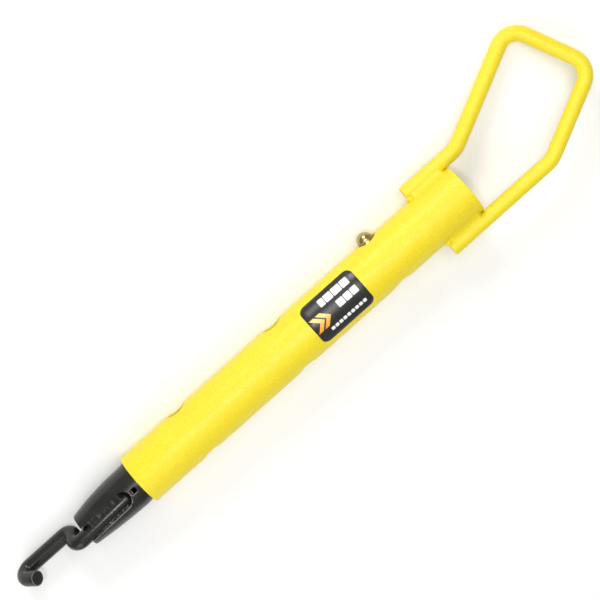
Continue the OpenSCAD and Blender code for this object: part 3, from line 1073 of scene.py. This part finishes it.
class Nose:
    """Sections of the slider's skin, across X: a tapering oval with a trough in its top."""

    def __init__(self, sizes, inset):
        self.sizes = sizes
        self.inset = inset

    def oval(self, x):
        """(half width, half height, centre's y, centre's z) at x."""
        sizes = self.sizes
        part = max(0, -x) / sizes.nose_len
        taper = part ** 2.3
        lean = sizes.nose_step * min(1, part / 0.1) + sizes.nose_shift * part ** 3
        full = 2 * sizes.slider_r
        width = full - (full - sizes.nose_w) * taper
        height = full - (full - sizes.nose_h) * taper
        centre_z = -(full - height) * 0.1
        return width / 2 - self.inset, height / 2 - self.inset, -lean, centre_z

    def trough(self, x, t, side):
        """A point on the trough's outline: t is 0 at its floor and 1 above its lip."""
        sizes = self.sizes
        grow = self.inset
        along = (x - SHANK_END.x) / (FRONT_BEND.x - SHANK_END.x)
        middle_y = SHANK_END.y + (FRONT_BEND.y - SHANK_END.y) * along
        tip = ARCH_TIP + grow
        arch = ARCH + grow
        back = min(max((x - (tip - arch)) / arch, 0), 1)
        spread = math.sqrt(1 - back ** 2)
        fall = min(max((tip - x) / RAMP, 0), 1)
        deep = fall * fall * (3 - 2 * fall)
        radius = sizes.hook_r + 0.1 * MM + grow
        if t < FLOOR_SHARE:
            turn = math.pi / 2 * t / FLOOR_SHARE
            half, z = radius * math.sin(turn), sizes.shank_z - radius * math.cos(turn)
        else:
            up = (t - FLOOR_SHARE) / (1 - FLOOR_SHARE)
            half = radius + TROUGH_FLARE * up ** 2
            z = sizes.shank_z + up * (sizes.slider_r + TROUGH_HEAD - sizes.shank_z)
        a, b, cy, cz = self.oval(x)
        top = cz + b * math.sqrt(max(0, 1 - ((middle_y - cy) / a) ** 2))
        return Vector((x, middle_y + side * half * spread, top - (top - z) * deep))

    def lip(self, x, side):
        """Where the trough's outline leaves the oval: its t."""
        a, b, cy, cz = self.oval(x)
        low, high = 0.0, 1.0
        for _ in range(30):
            t = (low + high) / 2
            point = self.trough(x, t, side)
            outside = ((point.y - cy) / a) ** 2 + ((point.z - cz) / b) ** 2 > 1
            low, high = (low, t) if outside else (t, high)
        return low

    def ring(self, x):
        """The section at x: round the oval from lip to lip, then across the trough."""
        a, b, cy, cz = self.oval(x)
        open_here = x < ARCH_TIP + self.inset
        lips = {side: self.lip(x, side) if open_here else 0.0 for side in (1, -1)}
        ends = {side: self.trough(x, lips[side], side) for side in (1, -1)}
        turns = {side: math.atan2((ends[side].z - cz) / b, (ends[side].y - cy) / a) for side in (1, -1)}
        first, last = turns[-1], turns[1] + 2 * math.pi
        points = []
        for k in range(OVAL_POINTS):
            turn = first + (last - first) * k / (OVAL_POINTS - 1)
            points.append(Vector((x, cy + a * math.cos(turn), cz + b * math.sin(turn))))
        for k in range(1, TROUGH_POINTS):
            across = 1 - 2 * k / TROUGH_POINTS
            side = 1 if across >= 0 else -1
            points.append(self.trough(x, abs(across) * lips[side], side))
        return points


def nose_stations(sizes):
    """Places along X of the skin's sections, close together at the arched end of the trough."""
    stations = [-sizes.nose_len + NOSE_GAP * k for k in range(12)]
    stations += [ARCH_TIP - ARCH + ARCH * math.sin(math.radians(turn)) for turn in range(0, 91, 6)]
    stations += [ARCH_TIP + step * MM for step in NEAR_ARCH]
    stations += [step * MM for step in IN_TUBE] + [sizes.slider_in]
    return sorted(set(stations))


def slider_shell(sizes):
    """One closed skin: along the outside from the nose to the tail, and back along the bore."""
    stations = nose_stations(sizes)
    shift_from = ARCH_TIP - 6 * MM
    shifted = sorted(x + (sizes.slider_wall if shift_from < x < 0 else 0) for x in stations)
    outside, inside = Nose(sizes, 0), Nose(sizes, sizes.slider_wall)
    rings = [outside.ring(x) for x in stations] + [inside.ring(x) for x in reversed(shifted)]
    shell = loft("slider_with_nose", rings + rings[:1], False)
    tidy_mesh(shell)
    return shell


def cut(obj, cutter):
    """Takes the cutter's shape out of the piece, and removes the cutter."""
    add_modifier(obj, "BOOLEAN", operation="DIFFERENCE", object=cutter, solver="EXACT")
    bpy.data.objects.remove(cutter, do_unlink=True)


def relief_cutter(sizes):
    """The small four-sided relief hole above the trough's arched end."""
    place = (*RELIEF_PLACE, sizes.slider_r)
    cutter = add_shape(bpy.ops.mesh.primitive_cube_add, size=1, location=place, scale=RELIEF_SIZE)
    add_modifier(cutter, "BEVEL", width=0.5 * MM, segments=3)
    return cutter


def latch_cutter(sizes):
    """The hole through one wall that the button stands in."""
    cutter = add_shape(bpy.ops.mesh.primitive_cylinder_add, vertices=64, radius=sizes.hole_r,
                       depth=sizes.slider_r, location=(0, 0, sizes.slider_r))
    out = Matrix.Rotation(sizes.hole_tilt - math.pi / 2, 4, "X")
    apply_place(cutter, Matrix.Translation((hole_places(sizes)[-1], 0, 0)) @ out)
    return cutter


class PULLER_OT_slider(bpy.types.Operator):
    """Build the inner slider with its formed nose"""

    bl_idname = "puller.slider"
    bl_label = "Slider"

    def execute(self, context):
        sizes, finish = chosen(context)
        shell = slider_shell(sizes)
        cut(shell, latch_cutter(sizes))
        cut(shell, relief_cutter(sizes))
        round_edges(shell, SLIDER_ROUNDING, 3, 40)
        smooth(shell, 38)
        apply_place(shell, laid_down(sizes))
        paint(shell, material_for("black", finish))
        hand_over(shell, "slider", "black_paint", "slider_tube")
        return {"FINISHED"}


CHIP_REACH = 1.2  # chipped rim of the tip, in rod radii
CHIP_INNER, CHIP_OUTER = 0.86, 0.97
BEAD_POINTS = 9  # points across a bead
BEADS = ((1, 3.6 * MM), (-1, 6.4 * MM))  # side of the shank, height of the bead's edge
BEAD_START, BEAD_LENGTH = 1.2, 28.6  # along the shank, in mm


class PULLER_OT_hook(bpy.types.Operator):
    """Build the hook's bent rod and the beads that hold its shank"""

    bl_idname = "puller.hook"
    bl_label = "Hook"

    def execute(self, context):
        sizes, finish = chosen(context)
        path = hook_path(sizes)
        radii = [sizes.hook_radius, sizes.hook_radius, sizes.tip_radius]
        hook = bent_rod("hook_bent_rod", path, radii, sizes.hook_r, HOOK_CUTS)
        paint(hook, material_for("black", finish), material_for("chipped", finish))
        self.chip_rim(hook, path, sizes.hook_r)
        smooth(hook, 40)
        apply_place(hook, laid_down(sizes))
        hand_over(hook, "slider", "black_paint", "hook_rod")
        self.shank_beads(sizes, finish)
        return {"FINISHED"}

    def chip_rim(self, hook, path, rod_r):
        """Gives the rim of the sawn tip its bare steel."""
        way = (path[-1] - path[-2]).normalized()
        for face in hook.data.polygons:
            off_tip = face.center - path[-1]
            out = (off_tip - way * off_tip.dot(way)).length
            if off_tip.length < CHIP_REACH * rod_r and CHIP_INNER * rod_r < out < CHIP_OUTER * rod_r:
                face.material_index = 1

    def shank_beads(self, sizes, finish):
        """Rippled beads of weld between the shank and both walls of the trough."""
        rise = Vector((0, 0, sizes.shank_z))
        way = (FRONT_BEND - SHANK_END).normalized()
        across = Z_AXIS.cross(way)
        smallest, sharpness = 0.03, 9
        beads = []
        for side, height in BEADS:
            rings = []
            for step in range(WELD_STEPS + 1):
                part = step / WELD_STEPS
                swell = math.sqrt(max(smallest, min(1, min(part, 1 - part) * sharpness)))
                centre = SHANK_END + rise + way * (BEAD_START + BEAD_LENGTH * part) * MM
                rings.append(self.bead_ring(centre, across * side, sizes, height, swell, side * 7 + 2))
            beads.append(loft("shank_bead", rings))
        welds = join(beads, "shank_weld_beads")
        tidy_mesh(welds)
        smooth(welds, 60)
        apply_place(welds, laid_down(sizes))
        paint(welds, material_for("black", finish))
        hand_over(welds, "slider", "black_paint", "hook_weld")

    def bead_ring(self, centre, outward, sizes, height, swell, seed):
        """One section of a bead: its face runs from the rod to the trough's wall."""
        lift = 0.2 + 0.18 * height / MM
        start = centre + (outward * math.cos(lift) + Z_AXIS * math.sin(lift)) * (sizes.hook_r - 0.1 * MM)
        wall = sizes.slider_r + TROUGH_HEAD - sizes.shank_z
        spread = TROUGH_FLARE * (height / wall) ** 2
        end = centre + outward * (sizes.hook_r + 0.25 * MM + spread) + Z_AXIS * height
        low = centre + outward * (sizes.hook_r - 0.2 * MM) + Z_AXIS * 0.6 * MM
        points = []
        for k in range(BEAD_POINTS):
            part = k / (BEAD_POINTS - 1)
            dome = math.sin(math.pi * part)
            beat = 0.05 * MM * math.cos(2 * math.pi * centre.x / (1.9 * MM) + 2 * dome)
            lump = 0.5 * MM * ripple((centre.x, k * MM, 0), 2.6 * MM, seed)
            points.append(start.lerp(end, part) + Z_AXIS * dome * swell * (0.2 * MM + beat + lump))
        return [low.lerp(point, swell) for point in points] + [low]


# ---- the snap button and its spring


# The button's outline, in mm: the rivet's tail as (radius, height above the leaf), then the
# collar's foot and rim as (distance in from its side, distance from its foot or its top).
RIVET = ((0, -1.9), (2.6, -1.9), (2.9, -1.75), (3.0, -1.5), (3.0, -1.0), (2.9, -0.9), (2.0, -0.9),
         (2.0, 0.1), (5.3, 0.1))
COLLAR_FOOT = ((0.1, 0.2), (0, 0.45))
COLLAR_RIM = ((0, 0.45), (0.08, 0.2), (0.28, 0.05), (0.5, 0))
BALL_STEPS = 22


def button_profile(sizes):
    """Half outline of the button as (radius, height above the leaf), from its tail to its top."""
    ball_z = sizes.ball_height - sizes.leaf_r
    top = sizes.tube_r - sizes.leaf_r
    side = sizes.collar_r
    points = [(radius * MM, height * MM) for radius, height in RIVET]
    points += [(side - inset * MM, rise * MM) for inset, rise in COLLAR_FOOT]
    points += [(side - inset * MM, top - drop * MM) for inset, drop in COLLAR_RIM]
    low = math.asin((top - 0.15 * MM - ball_z) / sizes.ball_r)
    points.append((sizes.ball_r * math.cos(low) + 0.12 * MM, top - 0.12 * MM))
    for step in range(BALL_STEPS + 1):
        turn = low + (math.pi / 2 - low) * step / BALL_STEPS
        points.append((sizes.ball_r * math.cos(turn), ball_z + sizes.ball_r * math.sin(turn)))
    points[-1] = (0, points[-1][1])
    return points


class PULLER_OT_snap_button(bpy.types.Operator):
    """Turn the brass snap button from its half outline"""

    bl_idname = "puller.snap_button"
    bl_label = "Snap Button"

    def execute(self, context):
        sizes, finish = chosen(context)
        points = [(radius, 0, height) for radius, height in button_profile(sizes)]
        mesh = bpy.data.meshes.new("brass_button")
        mesh.from_pydata(points, [(k, k + 1) for k in range(len(points) - 1)], [])
        button = bpy.data.objects.new("brass_button", mesh)
        context.scene.collection.objects.link(button)
        edit(button)
        bpy.ops.mesh.spin(steps=72, angle=2 * math.pi, center=(0, 0, 0), axis=(0, 0, 1))
        done_editing()
        tidy_mesh(button, 1e-6)
        smooth(button, 35)
        on_leaf = Matrix.Translation((0, 0, sizes.leaf_r)) @ Matrix.Rotation(-sizes.button_lean, 4, "Y")
        apply_place(button, hole_frame(sizes, hole_places(sizes)[-1]) @ on_leaf)
        paint(button, material_for("brass", finish))
        hand_over(button, "button", "brass", "snap_button")
        return {"FINISHED"}


class PULLER_OT_snap_spring(bpy.types.Operator):
    """Finish the leaf spring that pushes the button out"""

    bl_idname = "puller.snap_spring"
    bl_label = "Snap Spring"

    def execute(self, context):
        spring = frame["nodes"]["snap_spring"]
        paint(spring, material_for("spring", context.scene.puller_finish))
        return {"FINISHED"}


# ---- stage


# Soft square lights: name, place, target, side (all in metres), power in watts and colour.
LIGHTS = (
    ("key", (0.2, 0.25, 1.5), (0, 0, 0), 0.9, 8.5, (1, 0.99, 0.97)),
    ("spark", (-0.15, 0.25, 1.2), (-0.2, 0, 0), 0.12, 2.2, (1, 1, 1)),
    ("fill", (-1.1, -0.7, 1.0), (0, 0, 0), 1.2, 9, (1, 1, 1)),
    ("back", (0.3, 1.2, 0.7), (0, 0, 0), 0.6, 9, (1, 1, 1)),
)
SKY = 0.40  # strength of the even light from all sides
FLOOR_SIZE, FLOOR_DROP = 12, 0.1 * MM
LENS, SENSOR = 111, 36  # in mm
CAMERA_PLACE = (135.4 * MM, 15.2 * MM, 1.045)  # in the tool's frame
CAMERA_LEAN = math.radians(41.684)  # turn of the tool in the view


def soft_light(name, place, target, size, energy, tint):
    lamp = bpy.data.lights.new(name, "AREA")
    lamp.shape = "SQUARE"
    lamp.size = size
    lamp.energy = energy
    lamp.color = tint
    obj = bpy.data.objects.new(name, lamp)
    bpy.context.scene.collection.objects.link(obj)
    obj.location = place
    obj.rotation_euler = (Vector(target) - Vector(place)).to_track_quat("-Z", "Y").to_euler()


class PULLER_OT_stage(bpy.types.Operator):
    """Set the pale floor, the soft lights and the camera"""

    bl_idname = "puller.stage"
    bl_label = "Stage"

    def execute(self, context):
        scene = context.scene
        sizes, finish = scene.puller_sizes, scene.puller_finish
        floor = add_shape(bpy.ops.mesh.primitive_plane_add, size=FLOOR_SIZE, location=(0, 0, -FLOOR_DROP))
        floor.name = "floor"
        keep_in_mesh()
        paint(floor, material_for("floor", finish))
        self.camera(scene, sizes)
        for light in LIGHTS:
            soft_light(*light)
        world = bpy.data.worlds.new("Studio")
        world.use_nodes = True
        ground = world.node_tree.nodes["Background"]
        ground.inputs["Color"].default_value = (1, 1, 1, 1)
        ground.inputs["Strength"].default_value = SKY
        scene.world = world
        scene.view_settings.view_transform = "Standard"
        return {"FINISHED"}

    def camera(self, scene, sizes):
        """Looks straight down the handle's plane, turned so that the tool lies across the view."""
        lens = bpy.data.cameras.new("camera")
        lens.lens = LENS
        lens.sensor_width = SENSOR
        lens.clip_start = 0.05
        camera = bpy.data.objects.new("camera", lens)
        scene.collection.objects.link(camera)
        right = Vector((math.cos(CAMERA_LEAN), -math.sin(CAMERA_LEAN), 0))
        up = Vector((math.sin(CAMERA_LEAN), math.cos(CAMERA_LEAN), 0))
        turn = Matrix((right, up, Z_AXIS)).transposed().to_4x4()
        camera.matrix_world = laid_down(sizes) @ Matrix.Translation(CAMERA_PLACE) @ turn
        scene.camera = camera


# ---- the add-on


class PULLER_PT_panel(bpy.types.Panel):
    """Lists the puller's pieces, sizes and finishes"""

    bl_label = "Hook Puller"
    bl_idname = "PULLER_PT_panel"
    bl_space_type = "VIEW_3D"
    bl_region_type = "UI"
    bl_category = "Puller"

    def draw(self, context):
        layout = self.layout
        for operator in OPERATORS:
            layout.operator(operator.bl_idname)
        for group in (context.scene.puller_sizes, context.scene.puller_finish):
            column = layout.column(align=True)
            for name in group.__annotations__:
                column.prop(group, name)


OPERATORS = (
    PULLER_OT_stage,
    PULLER_OT_outer_tube,
    PULLER_OT_bail_handle,
    PULLER_OT_handle_welds,
    PULLER_OT_label,
    PULLER_OT_slider,
    PULLER_OT_hook,
    PULLER_OT_snap_button,
    PULLER_OT_snap_spring,
)
CLASSES = (PullerSizes, PullerFinish, *OPERATORS, PULLER_PT_panel)


def register():
    for cls in CLASSES:
        bpy.utils.register_class(cls)
    bpy.types.Scene.puller_sizes = bpy.props.PointerProperty(type=PullerSizes)
    bpy.types.Scene.puller_finish = bpy.props.PointerProperty(type=PullerFinish)


def unregister():
    del bpy.types.Scene.puller_finish
    del bpy.types.Scene.puller_sizes
    for cls in reversed(CLASSES):
        bpy.utils.unregister_class(cls)


def main():
    register()
    for operator in OPERATORS:
        group, name = operator.bl_idname.split(".")
        getattr(getattr(bpy.ops, group), name)()


if __name__ == "__main__":
    main()
